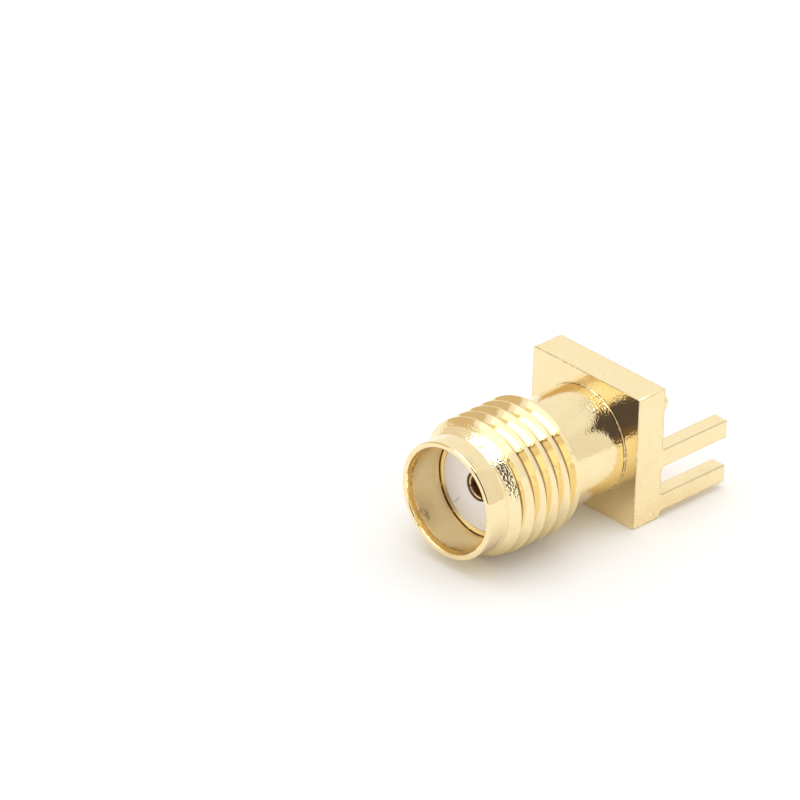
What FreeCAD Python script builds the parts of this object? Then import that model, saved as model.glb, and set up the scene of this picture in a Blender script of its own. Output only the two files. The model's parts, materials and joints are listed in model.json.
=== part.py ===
"""Edge-mount coaxial jack with a quarter-inch coupling thread, in millimetres.

The jack lies as it is soldered to a horizontal board. Its axis runs along Y, +Z is up, the mouth
looks along -Y and the board lies towards +Y. The origin is on the axis at the flange's back face,
which is the plane that the edge of the board stops against.
"""
import FreeCAD, Part
import os

import Sketcher
from FreeCAD import Vector

# Each driving dimension: its name, its size and what it is
DIMENSIONS = [
    ("flange_side", 6.35, "side of the square flange"),
    ("flange_thickness", 1.6, "flange, from front face to back face"),
    ("flange_corner", 0.2, "rounding of the flange's four long corners"),
    ("barrel_length", 8.2, "flange front face to the rim of the mouth"),
    ("barrel_radius", 2.5, "plain barrel between flange and thread"),
    ("barrel_root_fillet", 0.06, "fillet where the barrel meets the flange"),
    ("thread_radius", 3.11, "major radius of the coupling thread"),
    ("thread_start", 3.3, "flange front face to the back end of the thread"),
    ("thread_back_chamfer", 0.3, "length of the chamfer behind the thread"),
    ("lead_in_length", 0.8, "length of the cone in front of the thread"),
    ("pilot_radius", 2.65, "plain ring in front of the thread"),
    ("pilot_length", 1.0, "length of that ring"),
    ("rim_outer_chamfer", 0.06, "broken outer edge of the rim"),
    ("mouth_radius", 2.3, "bore that takes the mating plug"),
    ("mouth_depth", 1.9, "rim to the reference plane"),
    ("mouth_flare", 0.15, "how much wider the bore is at the rim"),
    ("mouth_flare_length", 0.4, "length of that flare"),
    ("insulator_radius", 2.06, "insulator and the bore that it is pressed into"),
    ("back_wall", 0.5, "wall that stops the insulator, inside the flange's back face"),
    ("back_hole_radius", 1.8, "hole through that wall"),
    ("leg_width", 0.75, "leg, across"),
    ("leg_length", 4.0, "leg, from the flange's back face to its tip"),
    ("leg_tip_round", 0.15, "rounding of the leg's tip"),
    ("upper_leg_height", 0.84, "leg above the board"),
    ("lower_leg_height", 0.8, "leg below the board"),
    ("slot_top_drop", 0.68, "axis down to the underside of the upper legs"),
    ("board_slot", 1.36, "gap between upper and lower legs, which takes the board"),
    ("contact_recess", 0.05, "contact's front, behind the reference plane"),
    ("contact_radius", 0.635, "socket's outside"),
    ("socket_radius", 0.47, "bore that grips the mating pin"),
    ("socket_depth", 2.4, "depth of that bore"),
    ("socket_lead_in", 0.08, "chamfer at the mouth of that bore"),
    ("finger_slot_width", 0.12, "saw cut between two fingers"),
    ("finger_slot_length", 1.7, "depth of the saw cuts"),
    ("finger_clearance", 0.065, "room for the fingers to spread"),
    ("finger_room_length", 1.9, "depth of that room, from the reference plane"),
    ("barb_height", 0.1, "barb that bites into the insulator, above the socket"),
    ("barb_length", 0.5, "length of the barb's ramp"),
    ("barb_place", 3.4, "reference plane to the barb's face"),
    ("neck_place", 1.5, "flange back face to the shoulder of the contact"),
    ("neck_radius", 0.54, "contact between its shoulder and the flange's back face"),
    ("tail_radius", 0.375, "solder pin"),
    ("tail_length", 3.55, "solder pin, from the flange's back face to its tip"),
    ("tail_point_length", 0.35, "pointed end of the solder pin"),
    ("tail_point_radius", 0.08, "blunt end of that point"),
]

# Planes across the axis, as the sheet works them out from the driving dimensions
FLANGE_FRONT = "-dims.flange_thickness"
RIM = "-dims.flange_thickness - dims.barrel_length"
REFERENCE = "-dims.flange_thickness - dims.barrel_length + dims.mouth_depth"
SOCKET_FACE = "-dims.flange_thickness - dims.barrel_length + dims.mouth_depth + dims.contact_recess"

doc = FreeCAD.newDocument("coaxial_jack")


def make_sheet():
    """Write the driving dimensions, one row each."""
    sheet = doc.addObject("Spreadsheet::Sheet", "dims")
    for row, (name, size, meaning) in enumerate(DIMENSIONS, start=1):
        sheet.set(f"A{row}", name)
        sheet.set(f"B{row}", str(size))
        sheet.set(f"C{row}", meaning)
        sheet.setAlias(f"B{row}", name)
    doc.recompute()
    return sheet


sheet = make_sheet()


def size_of(expression):
    """The present size, in millimetres, of an expression over the sheet."""
    return float(sheet.evalExpression(expression))


def make_body(label):
    """An empty body at the origin, with the label that names its file."""
    body = doc.addObject("PartDesign::Body", label)
    body.Label = label
    body.Placement = FreeCAD.Placement()
    return body


def make_sketch(body, name, plane):
    """An empty sketch on one of the body's own origin planes."""
    sketch = body.newObject("Sketcher::SketchObject", name)
    support = [item for item in body.Origin.OriginFeatures if item.Role == plane]
    sketch.AttachmentSupport = [(support[0], "")]
    sketch.MapMode = "FlatFace"
    doc.recompute()
    return sketch


def draw_outline(sketch, corners):
    """A closed outline whose corners are held, across and along, by the sheet's dimensions."""
    places = [Vector(size_of(across), size_of(along), 0) for across, along in corners]
    first = sketch.GeometryCount
    for index, place in enumerate(places):
        following = places[(index + 1) % len(places)]
        sketch.addGeometry(Part.LineSegment(place, following), False)
    last = first + len(places) - 1
    for index in range(first, last + 1):
        following = index + 1 if index < last else first
        sketch.addConstraint(Sketcher.Constraint("Coincident", index, 2, following, 1))
    for index, (across, along) in enumerate(corners, start=first):
        place = places[index - first]
        hold_corner(sketch, index, "DistanceX", across, place.x)
        hold_corner(sketch, index, "DistanceY", along, place.y)


def hold_corner(sketch, index, direction, expression, distance):
    """Hold a corner at a distance from the sketch's origin, or on the axis where that is nothing."""
    if expression == "0":
        axis = -2 if direction == "DistanceX" else -1
        sketch.addConstraint(Sketcher.Constraint("PointOnObject", index, 1, axis))
        return
    number = sketch.addConstraint(Sketcher.Constraint(direction, -1, 1, index, 1, distance))
    sketch.setExpression(f"Constraints[{number}]", expression)


def turn(body, name, corners, removes=False):
    """Turn an outline of radius and place along the axis; a groove takes it away."""
    sketch = make_sketch(body, name + "_outline", "XY_Plane")
    draw_outline(sketch, corners)
    kind = "PartDesign::Groove" if removes else "PartDesign::Revolution"
    turned = body.newObject(kind, name)
    turned.Profile = sketch
    turned.ReferenceAxis = (sketch, ["V_Axis"])
    turned.Angle = 360
    doc.recompute()
    return turned


def edges_where(shape, wanted):
    """Names of the edges that a test accepts."""
    return [f"Edge{number}" for number, edge in enumerate(shape.Edges, start=1) if wanted(edge)]


def round_edges(body, name, radius, wanted):
    """Round the accepted edges of the body as it stands."""
    before = body.Tip
    fillet = body.newObject("PartDesign::Fillet", name)
    fillet.Base = (before, edges_where(before.Shape, wanted))
    fillet.setExpression("Radius", radius)
    doc.recompute()
    return fillet


def add_flange(body):
    """The square flange, from its back face at the origin towards the mouth."""
    sketch = make_sketch(body, "flange_outline", "XZ_Plane")
    half = "dims.flange_side / 2"
    draw_outline(sketch, [
        ("-" + half, "-" + half),
        (half, "-" + half),
        (half, half),
        ("-" + half, half),
    ])
    flange = body.newObject("PartDesign::Pad", "flange")
    flange.Profile = sketch
    flange.setExpression("Length", "dims.flange_thickness")
    flange.UseCustomVector = True
    flange.Direction = Vector(0, -1, 0)
    doc.recompute()

    def runs_along_axis(edge):
        start, end = edge.Vertexes[0].Point, edge.Vertexes[-1].Point
        return abs(start.x - end.x) < 1e-6 and abs(start.z - end.z) < 1e-6

    round_edges(body, "flange_corners", "dims.flange_corner", runs_along_axis)


def add_barrel(body):
    """The turned barrel: plain neck, threaded length at its major radius, lead-in cone and pilot."""
    turn(body, "barrel", [
        ("0", RIM),
        ("dims.pilot_radius - dims.rim_outer_chamfer", RIM),
        ("dims.pilot_radius", RIM + " + dims.rim_outer_chamfer"),
        ("dims.pilot_radius", RIM + " + dims.pilot_length"),
        ("dims.thread_radius", RIM + " + dims.pilot_length + dims.lead_in_length"),
        ("dims.thread_radius", FLANGE_FRONT + " - dims.thread_start"),
        ("dims.barrel_radius", FLANGE_FRONT + " - dims.thread_start + dims.thread_back_chamfer"),
        ("dims.barrel_radius", FLANGE_FRONT),
        ("0", FLANGE_FRONT),
    ])
    front = size_of(FLANGE_FRONT)
    radius = size_of("dims.barrel_radius")

    def is_barrel_root(edge):
        curve = edge.Curve
        round_edge = isinstance(curve, Part.Circle) and abs(curve.Radius - radius) < 1e-6
        return round_edge and abs(curve.Center.y - front) < 1e-6

    round_edges(body, "barrel_root", "dims.barrel_root_fillet", is_barrel_root)


def add_legs(body):
    """Four legs that straddle the edge of the board, flush with the flange's two sides."""
    sketch = make_sketch(body, "leg_outline", "XZ_Plane")
    inner = "dims.flange_side / 2 - dims.leg_width"
    outer = "dims.flange_side / 2"
    slot_top = "-dims.slot_top_drop"
    slot_bottom = "-dims.slot_top_drop - dims.board_slot"
    draw_outline(sketch, [
        (inner, slot_top),
        (outer, slot_top),
        (outer, slot_top + " + dims.upper_leg_height"),
        (inner, slot_top + " + dims.upper_leg_height"),
    ])
    draw_outline(sketch, [
        (inner, slot_bottom + " - dims.lower_leg_height"),
        (outer, slot_bottom + " - dims.lower_leg_height"),
        (outer, slot_bottom),
        (inner, slot_bottom),
    ])
    legs = body.newObject("PartDesign::Pad", "legs")
    legs.Profile = sketch
    legs.setExpression("Length", "dims.leg_length")
    legs.UseCustomVector = True
    legs.Direction = Vector(0, 1, 0)
    doc.recompute()

    other_side = body.newObject("PartDesign::Mirrored", "other_legs")
    other_side.Originals = [legs]
    middle = [item for item in body.Origin.OriginFeatures if item.Role == "YZ_Plane"]
    other_side.MirrorPlane = (middle[0], [""])
    body.Tip = other_side
    doc.recompute()

    tip = size_of("dims.leg_length")
    round_edges(body, "leg_tips", "dims.leg_tip_round",
                lambda edge: all(abs(corner.Y - tip) < 1e-6 for corner in edge.Vertexes))


def bore_shell(body):
    """The stepped bore: lead-in, mouth, insulator bore and the hole in the back wall."""
    turn(body, "stepped_bore", [
        ("0", RIM),
        ("dims.mouth_radius + dims.mouth_flare", RIM),
        ("dims.mouth_radius", RIM + " + dims.mouth_flare_length"),
        ("dims.mouth_radius", REFERENCE),
        ("dims.insulator_radius", REFERENCE),
        ("dims.insulator_radius", "-dims.back_wall"),
        ("dims.back_hole_radius", "-dims.back_wall"),
        ("dims.back_hole_radius", "0"),
        ("0", "0"),
    ], removes=True)


def make_shell():
    """The one-piece metal body: flange, barrel and legs, bored through."""
    body = make_body("connector_body")
    add_flange(body)
    add_barrel(body)
    add_legs(body)
    solid_volume = body.Shape.Volume
    bore_shell(body)
    if body.Shape.Volume > solid_volume - 1.0:
        raise RuntimeError("the bore took nothing away")
    return body


def make_insulator():
    """The insulator, whose hole follows the outside of the contact that is pushed into it."""
    body = make_body("insulator")
    barb_top = "dims.contact_radius + dims.barb_height"
    turn(body, "insulator_solid", [
        ("dims.contact_radius + dims.finger_clearance", REFERENCE),
        ("dims.insulator_radius", REFERENCE),
        ("dims.insulator_radius", "-dims.back_wall"),
        ("dims.back_hole_radius", "-dims.back_wall"),
        ("dims.back_hole_radius", "0"),
        ("dims.neck_radius", "0"),
        ("dims.neck_radius", "-dims.neck_place"),
        ("dims.contact_radius", "-dims.neck_place"),
        ("dims.contact_radius", REFERENCE + " + dims.barb_place + dims.barb_length"),
        (barb_top, REFERENCE + " + dims.barb_place"),
        ("dims.contact_radius", REFERENCE + " + dims.barb_place"),
        ("dims.contact_radius", REFERENCE + " + dims.finger_room_length"),
        ("dims.contact_radius + dims.finger_clearance", REFERENCE + " + dims.finger_room_length"),
    ])
    return body


def cut_finger_slots(body):
    """Two crossed saw cuts that leave four spring fingers."""
    sketch = make_sketch(body, "saw_cut_outline", "XY_Plane")
    sketch.AttachmentOffset = FreeCAD.Placement(Vector(), FreeCAD.Rotation(Vector(0, 1, 0), -20))
    half = "dims.finger_slot_width / 2"
    draw_outline(sketch, [
        ("-" + half, SOCKET_FACE),
        (half, SOCKET_FACE),
        (half, SOCKET_FACE + " + dims.finger_slot_length"),
        ("-" + half, SOCKET_FACE + " + dims.finger_slot_length"),
    ])
    cut = body.newObject("PartDesign::Pocket", "saw_cut")
    cut.Profile = sketch
    cut.Type = "ThroughAll"
    cut.Midplane = True
    doc.recompute()

    crossed = body.newObject("PartDesign::PolarPattern", "crossed_cuts")
    crossed.Originals = [cut]
    crossed.Axis = (sketch, ["V_Axis"])
    crossed.Angle = 90
    crossed.Occurrences = 2
    body.Tip = crossed
    doc.recompute()


def make_contact():
    """The centre contact: slotted socket, barb, neck and pointed solder pin."""
    body = make_body("centre_contact")
    barb_top = "dims.contact_radius + dims.barb_height"
    turn(body, "contact_solid", [
        ("0", SOCKET_FACE),
        ("dims.contact_radius", SOCKET_FACE),
        ("dims.contact_radius", REFERENCE + " + dims.barb_place"),
        (barb_top, REFERENCE + " + dims.barb_place"),
        ("dims.contact_radius", REFERENCE + " + dims.barb_place + dims.barb_length"),
        ("dims.contact_radius", "-dims.neck_place"),
        ("dims.neck_radius", "-dims.neck_place"),
        ("dims.neck_radius", "0"),
        ("dims.tail_radius", "0"),
        ("dims.tail_radius", "dims.tail_length - dims.tail_point_length"),
        ("dims.tail_point_radius", "dims.tail_length"),
        ("0", "dims.tail_length"),
    ])
    solid_volume = body.Shape.Volume
    turn(body, "socket_bore", [
        ("0", SOCKET_FACE),
        ("dims.socket_radius + dims.socket_lead_in", SOCKET_FACE),
        ("dims.socket_radius", SOCKET_FACE + " + dims.socket_lead_in"),
        ("dims.socket_radius", SOCKET_FACE + " + dims.socket_depth"),
        ("0", SOCKET_FACE + " + dims.socket_depth + dims.socket_radius * tan(30)"),
    ], removes=True)
    if body.Shape.Volume > solid_volume - 0.1:
        raise RuntimeError("the socket's bore took nothing away")
    bored_volume = body.Shape.Volume
    cut_finger_slots(body)
    if body.Shape.Volume > bored_volume - 0.01:
        raise RuntimeError("the saw cuts took nothing away")
    return body


def check_model(pieces):
    """Stop if any object failed or any piece isn't one sound solid."""
    doc.recompute()
    for item in doc.Objects:
        if "Invalid" in item.State or "Error" in item.State:
            raise RuntimeError(f"{item.Name} failed: {item.State}")
    for piece in pieces:
        shape = piece.Shape
        if shape.isNull() or not shape.isValid() or len(shape.Solids) != 1:
            raise RuntimeError(f"{piece.Label} isn't one sound solid")


def write_pieces(pieces):
    """Write each piece to its own file and print its size."""
    os.makedirs("parts", exist_ok=True)
    for piece in pieces:
        piece.Shape.exportStep(f"parts/{piece.Label}.step")
        box = piece.Shape.BoundBox
        print(f"{piece.Label}: {piece.Shape.Volume:.3f} cubic mm, "
              f"x {box.XMin:.3f} to {box.XMax:.3f}, y {box.YMin:.3f} to {box.YMax:.3f}, "
              f"z {box.ZMin:.3f} to {box.ZMax:.3f}")


pieces = [make_shell(), make_insulator(), make_contact()]
check_model(pieces)
write_pieces(pieces)
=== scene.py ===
# %% [markdown]
# # A small coaxial jack for the edge of a circuit board
#
# The real part is about 14 mm long. Its brass body is turned on a lathe, threaded, milled to a
# square flange with four legs, and plated with gold. A white plastic insulator is pressed into it,
# and a slotted gold contact sits in the insulator. It lies on its flange and on the thread's side
# of a plain white table.
#
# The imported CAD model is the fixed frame. This script dresses it: every piece below is modelled in
# the place of one CAD node, in metres, in the same frame. Sizes are written in millimetres and
# multiplied by MM, because that is how a maker reads a drawing.

# %% Load the frame
import json
import math

import bmesh
import bpy
from mathutils import Matrix, Vector

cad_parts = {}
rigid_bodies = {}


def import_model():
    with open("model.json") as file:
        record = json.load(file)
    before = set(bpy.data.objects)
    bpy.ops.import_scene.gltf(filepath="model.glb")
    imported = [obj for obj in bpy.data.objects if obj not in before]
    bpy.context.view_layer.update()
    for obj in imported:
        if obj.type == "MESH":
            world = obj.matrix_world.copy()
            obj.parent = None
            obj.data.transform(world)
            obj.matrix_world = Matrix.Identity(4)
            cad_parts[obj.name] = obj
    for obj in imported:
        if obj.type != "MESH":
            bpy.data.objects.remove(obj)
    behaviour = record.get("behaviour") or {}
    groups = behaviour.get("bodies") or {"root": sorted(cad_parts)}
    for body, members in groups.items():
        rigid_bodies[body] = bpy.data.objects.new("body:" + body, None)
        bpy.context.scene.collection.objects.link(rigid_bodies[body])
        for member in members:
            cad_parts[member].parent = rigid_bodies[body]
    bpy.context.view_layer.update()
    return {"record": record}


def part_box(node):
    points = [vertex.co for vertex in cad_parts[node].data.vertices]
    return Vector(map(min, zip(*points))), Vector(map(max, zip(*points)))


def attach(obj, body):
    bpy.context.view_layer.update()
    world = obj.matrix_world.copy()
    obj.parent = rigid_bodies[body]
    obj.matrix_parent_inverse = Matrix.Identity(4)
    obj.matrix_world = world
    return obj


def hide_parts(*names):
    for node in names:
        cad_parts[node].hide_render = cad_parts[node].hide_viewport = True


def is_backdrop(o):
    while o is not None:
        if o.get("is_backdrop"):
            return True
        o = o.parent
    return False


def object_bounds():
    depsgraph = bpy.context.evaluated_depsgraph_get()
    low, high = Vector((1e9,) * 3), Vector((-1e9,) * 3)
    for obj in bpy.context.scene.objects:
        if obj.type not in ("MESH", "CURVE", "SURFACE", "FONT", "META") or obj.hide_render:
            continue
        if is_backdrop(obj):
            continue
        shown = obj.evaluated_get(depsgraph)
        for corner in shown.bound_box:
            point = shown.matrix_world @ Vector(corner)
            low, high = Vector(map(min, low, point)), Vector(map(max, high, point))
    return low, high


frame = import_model()
MM = 0.001

# %% [markdown]
# ## Sizes
#
# What the frame already knows is read from it: the box of the body gives the flange's side, the
# rim's place and the tips of the legs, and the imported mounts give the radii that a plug, a nut and
# a pin have to fit. The remaining sizes are the drawing's, in millimetres. Y is the axis, the
# mouth looks towards -Y, and y = 0 is the flange's back face. The reference plane, where the plug
# stops, lies 1.9 mm inside the rim. No edge of a metal part is left sharp: each is broken a little.

# %% Sizes in millimetres
body_low, body_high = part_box("connector_body")
contact_low, contact_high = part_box("centre_contact")
mounts = {mount["name"]: mount for mount in frame["record"]["mounts"]}


def mount_radius(name):
    """Radius that the record states for a mount, in millimetres."""
    return mounts[name]["dims"]["r_mm"]


flange_side = (body_high.x - body_low.x) / MM
flange_thickness = 1.6
rim_y = body_low.y / MM
leg_tip_y = body_high.y / MM
front_y = -flange_thickness
thread_radius = mount_radius("coupling_thread")
mouth_radius = mount_radius("mating_bore")
socket_radius = mount_radius("contact_socket")
pin_radius = mount_radius("signal_pin")
pin_tip_y = contact_high.y / MM
pilot_radius = 2.65
barrel_radius = 2.5
reference_depth = 1.9
reference_y = rim_y + reference_depth
broken_edge = 0.035
print("flange", round(flange_side, 3), "rim", round(rim_y, 3), "leg tips", round(leg_tip_y, 3))

# %% [markdown]
# ## Camera
#
# The picture is taken from a long way off with a long lens, from the right of the mouth and about
# 29 degrees above the table, and it is turned by 2 degrees. A camera's matrix holds the directions
# that are right, up and backwards in the picture, so those three are worked out from the angles.

# %% Camera
AZIMUTH = math.radians(44.9)
ELEVATION = math.radians(29.44)
ROLL = math.radians(2.01)
DISTANCE = 366.4
LENS = 387
AIM = Vector((-6.03, -6.68, 1.17))

backwards = Vector((
    math.sin(AZIMUTH) * math.cos(ELEVATION),
    -math.cos(AZIMUTH) * math.cos(ELEVATION),
    math.sin(ELEVATION),
))
level_right = Vector((0, 0, 1)).cross(backwards).normalized()
level_up = backwards.cross(level_right)
right = math.cos(ROLL) * level_right + math.sin(ROLL) * level_up
up = backwards.cross(right)

camera_data = bpy.data.cameras.new("long_lens")
camera_data.sensor_width = 36
camera_data.lens = LENS
camera_data.clip_start = 0.01
camera_data.clip_end = 10
camera = bpy.data.objects.new("camera", camera_data)
bpy.context.collection.objects.link(camera)
turned = Matrix((right, up, backwards)).transposed().to_4x4()
camera.matrix_world = Matrix.Translation((AIM + DISTANCE * backwards) * MM) @ turned
bpy.context.scene.camera = camera
print("camera at", [round(v / MM, 1) for v in camera.matrix_world.translation])

# %% [markdown]
# ## Small helpers for working as by hand
#
# An operator acts on whatever is selected, so each step begins by clearing the selection and
# picking one piece. Faces and edges are picked in code by their place or direction, which is what
# a mouse would do. The merge distance is a thousandth of a millimetre: Blender's own default of
# a tenth of a millimetre would weld this small part into a lump.

# %% Helpers for picking and editing
MERGE = 0.001 * MM


def pick(piece):
    """Leave edit mode, clear the selection and make this piece the active one."""
    if bpy.context.object and bpy.context.object.mode != "OBJECT":
        bpy.ops.object.mode_set(mode="OBJECT")
    bpy.ops.object.select_all(action="DESELECT")
    piece.select_set(True)
    bpy.context.view_layer.objects.active = piece


def open_for_editing(piece):
    """Go into edit mode with nothing selected."""
    pick(piece)
    bpy.ops.object.mode_set(mode="EDIT")
    bpy.ops.mesh.select_all(action="DESELECT")


def close_editing():
    bpy.ops.object.mode_set(mode="OBJECT")


def pick_faces(piece, wanted):
    """In edit mode, select exactly the faces for which wanted(centre, normal) is true, in mm."""
    bpy.ops.mesh.select_mode(type="FACE")
    bpy.ops.mesh.select_all(action="DESELECT")
    mesh = bmesh.from_edit_mesh(piece.data)
    picked = 0
    for face in mesh.faces:
        if wanted(face.calc_center_median() / MM, face.normal):
            face.select_set(True)
            picked += 1
    bmesh.update_edit_mesh(piece.data)
    return picked


def pick_edges(piece, wanted):
    """In edit mode, select exactly the edges for which wanted(edge, middle in mm) is true."""
    bpy.ops.mesh.select_mode(type="EDGE")
    bpy.ops.mesh.select_all(action="DESELECT")
    mesh = bmesh.from_edit_mesh(piece.data)
    picked = 0
    for edge in mesh.edges:
        middle = (edge.verts[0].co + edge.verts[1].co) / 2 / MM
        if wanted(edge, middle):
            edge.select_set(True)
            picked += 1
    bmesh.update_edit_mesh(piece.data)
    return picked


def apply_modifier(piece, modifier):
    pick(piece)
    bpy.ops.object.modifier_apply(modifier=modifier.name)


def combine(piece, tool, operation):
    """Join a second solid to a piece, or cut it away, and throw the second one away."""
    joint = piece.modifiers.new(operation.lower(), "BOOLEAN")
    joint.operation = operation
    joint.solver = "EXACT"
    joint.object = tool
    apply_modifier(piece, joint)
    bpy.data.objects.remove(tool, do_unlink=True)


def tidy_mesh(piece):
    """Weld points that lie on each other and turn every face outwards."""
    open_for_editing(piece)
    bpy.ops.mesh.select_all(action="SELECT")
    bpy.ops.mesh.remove_doubles(threshold=MERGE)
    bpy.ops.mesh.normals_make_consistent(inside=False)
    close_editing()


print("merge distance in mm:", MERGE / MM)

# %% [markdown]
# ## A lathe
#
# Most of this part is round, so the main tool is a lathe. Half of the section is drawn as a chain
# of points, each one extruded from the last, and Spin turns it about Y. Real edges are never
# perfectly sharp: each corner of the outline is first replaced with a small arc, which later
# catches the light as a thin line.

# %% The lathe
def softened(outline, radius, steps=4):
    """The same outline with a small arc in place of each corner but the first and last.

    An arc takes less than half of the sides it joins. Corners that are nearly straight, or too
    short to show, stay as they are.
    """
    soft = [outline[0]]
    for before, corner, after in zip(outline, outline[1:], outline[2:]):
        here = Vector(corner)
        back = Vector(before) - here
        ahead = Vector(after) - here
        angle = back.angle(ahead)
        reach = min(radius / math.tan(angle / 2), back.length * 0.45, ahead.length * 0.45)
        start = here + back.normalized() * reach
        end = here + ahead.normalized() * reach
        if reach < 0.002 or angle > math.radians(176):
            soft.append(tuple(here))
            continue
        for step in range(steps + 1):
            share = step / steps
            bend = start.lerp(here, share).lerp(here.lerp(end, share), share)
            soft.append(tuple(bend))
    soft.append(outline[-1])
    return soft


def draw_chain(name, outline, closed=False):
    """A chain of points in the XY plane. Each point is (distance from the axis, place along it)."""
    bpy.ops.object.select_all(action="DESELECT")
    bpy.ops.mesh.primitive_plane_add(size=MM, location=(0, 0, 0))
    piece = bpy.context.object
    piece.name = name
    piece.data.name = name
    bpy.ops.object.mode_set(mode="EDIT")
    bpy.ops.mesh.select_all(action="SELECT")
    bpy.ops.mesh.merge(type="CENTER")
    bpy.ops.mesh.select_all(action="SELECT")
    first = outline[0]
    bpy.ops.transform.translate(value=(first[0] * MM, first[1] * MM, 0))
    for last, point in zip(outline, outline[1:]):
        step = ((point[0] - last[0]) * MM, (point[1] - last[1]) * MM, 0)
        bpy.ops.mesh.extrude_vertices_move(TRANSFORM_OT_translate={"value": step})
    if closed:
        mesh = bmesh.from_edit_mesh(piece.data)
        for point in mesh.verts:
            point.select_set(len(point.link_edges) == 1)
        bmesh.update_edit_mesh(piece.data)
        bpy.ops.mesh.edge_face_add()
    close_editing()
    return piece


def turn(name, outline, steps):
    """A solid of revolution about Y."""
    piece = draw_chain(name, outline)
    open_for_editing(piece)
    bpy.ops.mesh.select_all(action="SELECT")
    bpy.ops.mesh.spin(steps=steps, angle=math.tau, center=(0, 0, 0), axis=(0, 1, 0))
    close_editing()
    tidy_mesh(piece)
    return piece


corner_points = len(softened([(0, 0), (1, 0), (1, 1)], broken_edge)) - 2
print("points in place of one corner:", corner_points)

# %% [markdown]
# ## The body, first step: the turned blank
#
# The lathe hand turns a rod to its outer shape: a plain pilot ring at the mouth, a cone that helps
# the nut on, a plain cylinder for the thread, a chamfer behind it and the plain barrel. A small
# fillet leads from the barrel to the flange. The blank is solid for now and reaches into the
# flange, so that the two join as one piece of metal. Its fillet ends a hair behind the flange's
# front face: points that lie exactly in that face would leave a hidden face between the two.

# %% Turned blank
pilot_length = 1.0
cone_length = 0.8
thread_to_flange = 3.3
chamfer_length = 0.3
rim_chamfer = 0.05
root_fillet = 0.05
fillet_steps = 5
fillet_sink = 0.001
joint_depth = 0.5

pilot_end_y = rim_y + pilot_length
cone_end_y = pilot_end_y + cone_length
thread_end_y = front_y - thread_to_flange
chamfer_end_y = thread_end_y + chamfer_length

# The last point only shows which way the barrel runs on, and is dropped again.
blank_outline = softened([
    (0, rim_y),
    (pilot_radius - rim_chamfer, rim_y),
    (pilot_radius, rim_y + rim_chamfer),
    (pilot_radius, pilot_end_y),
    (thread_radius, cone_end_y),
    (thread_radius, thread_end_y),
    (barrel_radius, chamfer_end_y),
    (barrel_radius, front_y - 0.01),
], broken_edge)
blank_outline = blank_outline[:-1]
for step in range(fillet_steps + 1):
    turn_angle = math.radians(90) * step / fillet_steps
    blank_outline.append((
        barrel_radius + root_fillet * (1 - math.cos(turn_angle)),
        front_y + fillet_sink - root_fillet * (1 - math.sin(turn_angle)),
    ))
blank_end_y = front_y + joint_depth
blank_outline += [(barrel_radius + root_fillet, blank_end_y), (0, blank_end_y)]

body = turn("connector_shell", blank_outline, steps=288)
print("blank:", len(blank_outline), "points in the outline,", len(body.data.polygons), "faces")

# %% [markdown]
# ## The body, second step: the thread
#
# A lathe cuts a thread with a pointed tool that moves along by one pitch in each turn. The same is
# done here: the tool's outline, a V of 60 degrees with a narrow tip, is swept by a Screw modifier,
# and the swept solid is kept until the flange is on the blank and is cut away then. The thread is
# a quarter inch across with 36 turns to the inch, and right-handed, so the outline moves away from
# the mouth as it turns clockwise. The tool reaches past the blank, and the narrow flat that is left
# between two turns is the crest.

# %% Threading tool
PITCH = 25.4 / 36
flank_slope = math.tan(math.radians(30))
root_radius = 2.65
crest_flat = 0.05
tip_round = 0.03
tool_reach = 0.15
clearance = 0.002
first_groove_y = -9.411
groove_turns = 8
steps_per_turn = 216

half_pitch = PITCH / 2
root_half_width = half_pitch - crest_flat / 2 - (thread_radius - root_radius) * flank_slope
v_half = softened([
    (root_radius, 0),
    (root_radius, root_half_width),
    (thread_radius + clearance, (PITCH - crest_flat) / 2 + clearance / 2),
    (thread_radius + 4 * clearance, half_pitch - clearance),
    (thread_radius + tool_reach, half_pitch - clearance),
    (thread_radius + tool_reach, 0),
], tip_round)
mouth_flank = [(r, first_groove_y - y) for r, y in v_half]
flange_flank = [(r, first_groove_y + y) for r, y in v_half]
v_outline = mouth_flank[:0:-1] + flange_flank[:-1]

threading_tool = draw_chain("threading_tool", v_outline, closed=True)
sweep = threading_tool.modifiers.new("sweep", "SCREW")
sweep.axis = "Y"
sweep.angle = math.tau
sweep.screw_offset = PITCH * MM
sweep.iterations = groove_turns
sweep.steps = steps_per_turn
sweep.render_steps = steps_per_turn
sweep.use_merge_vertices = False
apply_modifier(threading_tool, sweep)
open_for_editing(threading_tool)
bpy.ops.mesh.select_all(action="SELECT")
bpy.ops.mesh.fill_holes(sides=0)
close_editing()
tidy_mesh(threading_tool)
print("threading tool:", len(threading_tool.data.polygons), "faces over", groove_turns, "turns")

# %% [markdown]
# ## The body, third step: flange and legs
#
# The flange is milled square from the same bar, with slightly rounded long corners. Its back face
# is divided where the legs begin and the four leg faces are extruded together, so each leg's outer
# side runs on from the flange's side without a line, as it does on the milled part. The cutter
# leaves a rounded inner corner at the root of each leg, and every outer edge is broken.

# %% Flange and legs
half_side = flange_side / 2
leg_width = 0.75
leg_inner_x = half_side - leg_width
upper_leg = (-0.68, 0.16)
lower_leg = (-2.84, -2.04)
corner_round = 0.12
leg_root_round = 0.12
leg_tip_round = 0.1

bpy.ops.object.select_all(action="DESELECT")
bpy.ops.mesh.primitive_cube_add(
    size=1,
    location=(0, front_y / 2 * MM, 0),
    scale=(flange_side * MM, flange_thickness * MM, flange_side * MM),
)
flange = bpy.context.object
flange.name = "flange_and_legs"
bpy.ops.object.transform_apply(location=True, rotation=True, scale=True)


def on_a_long_corner(edge, middle):
    """True for the edges where two sides of the flange meet."""
    return min(abs(middle.x), abs(middle.z)) > half_side - 0.01


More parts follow.
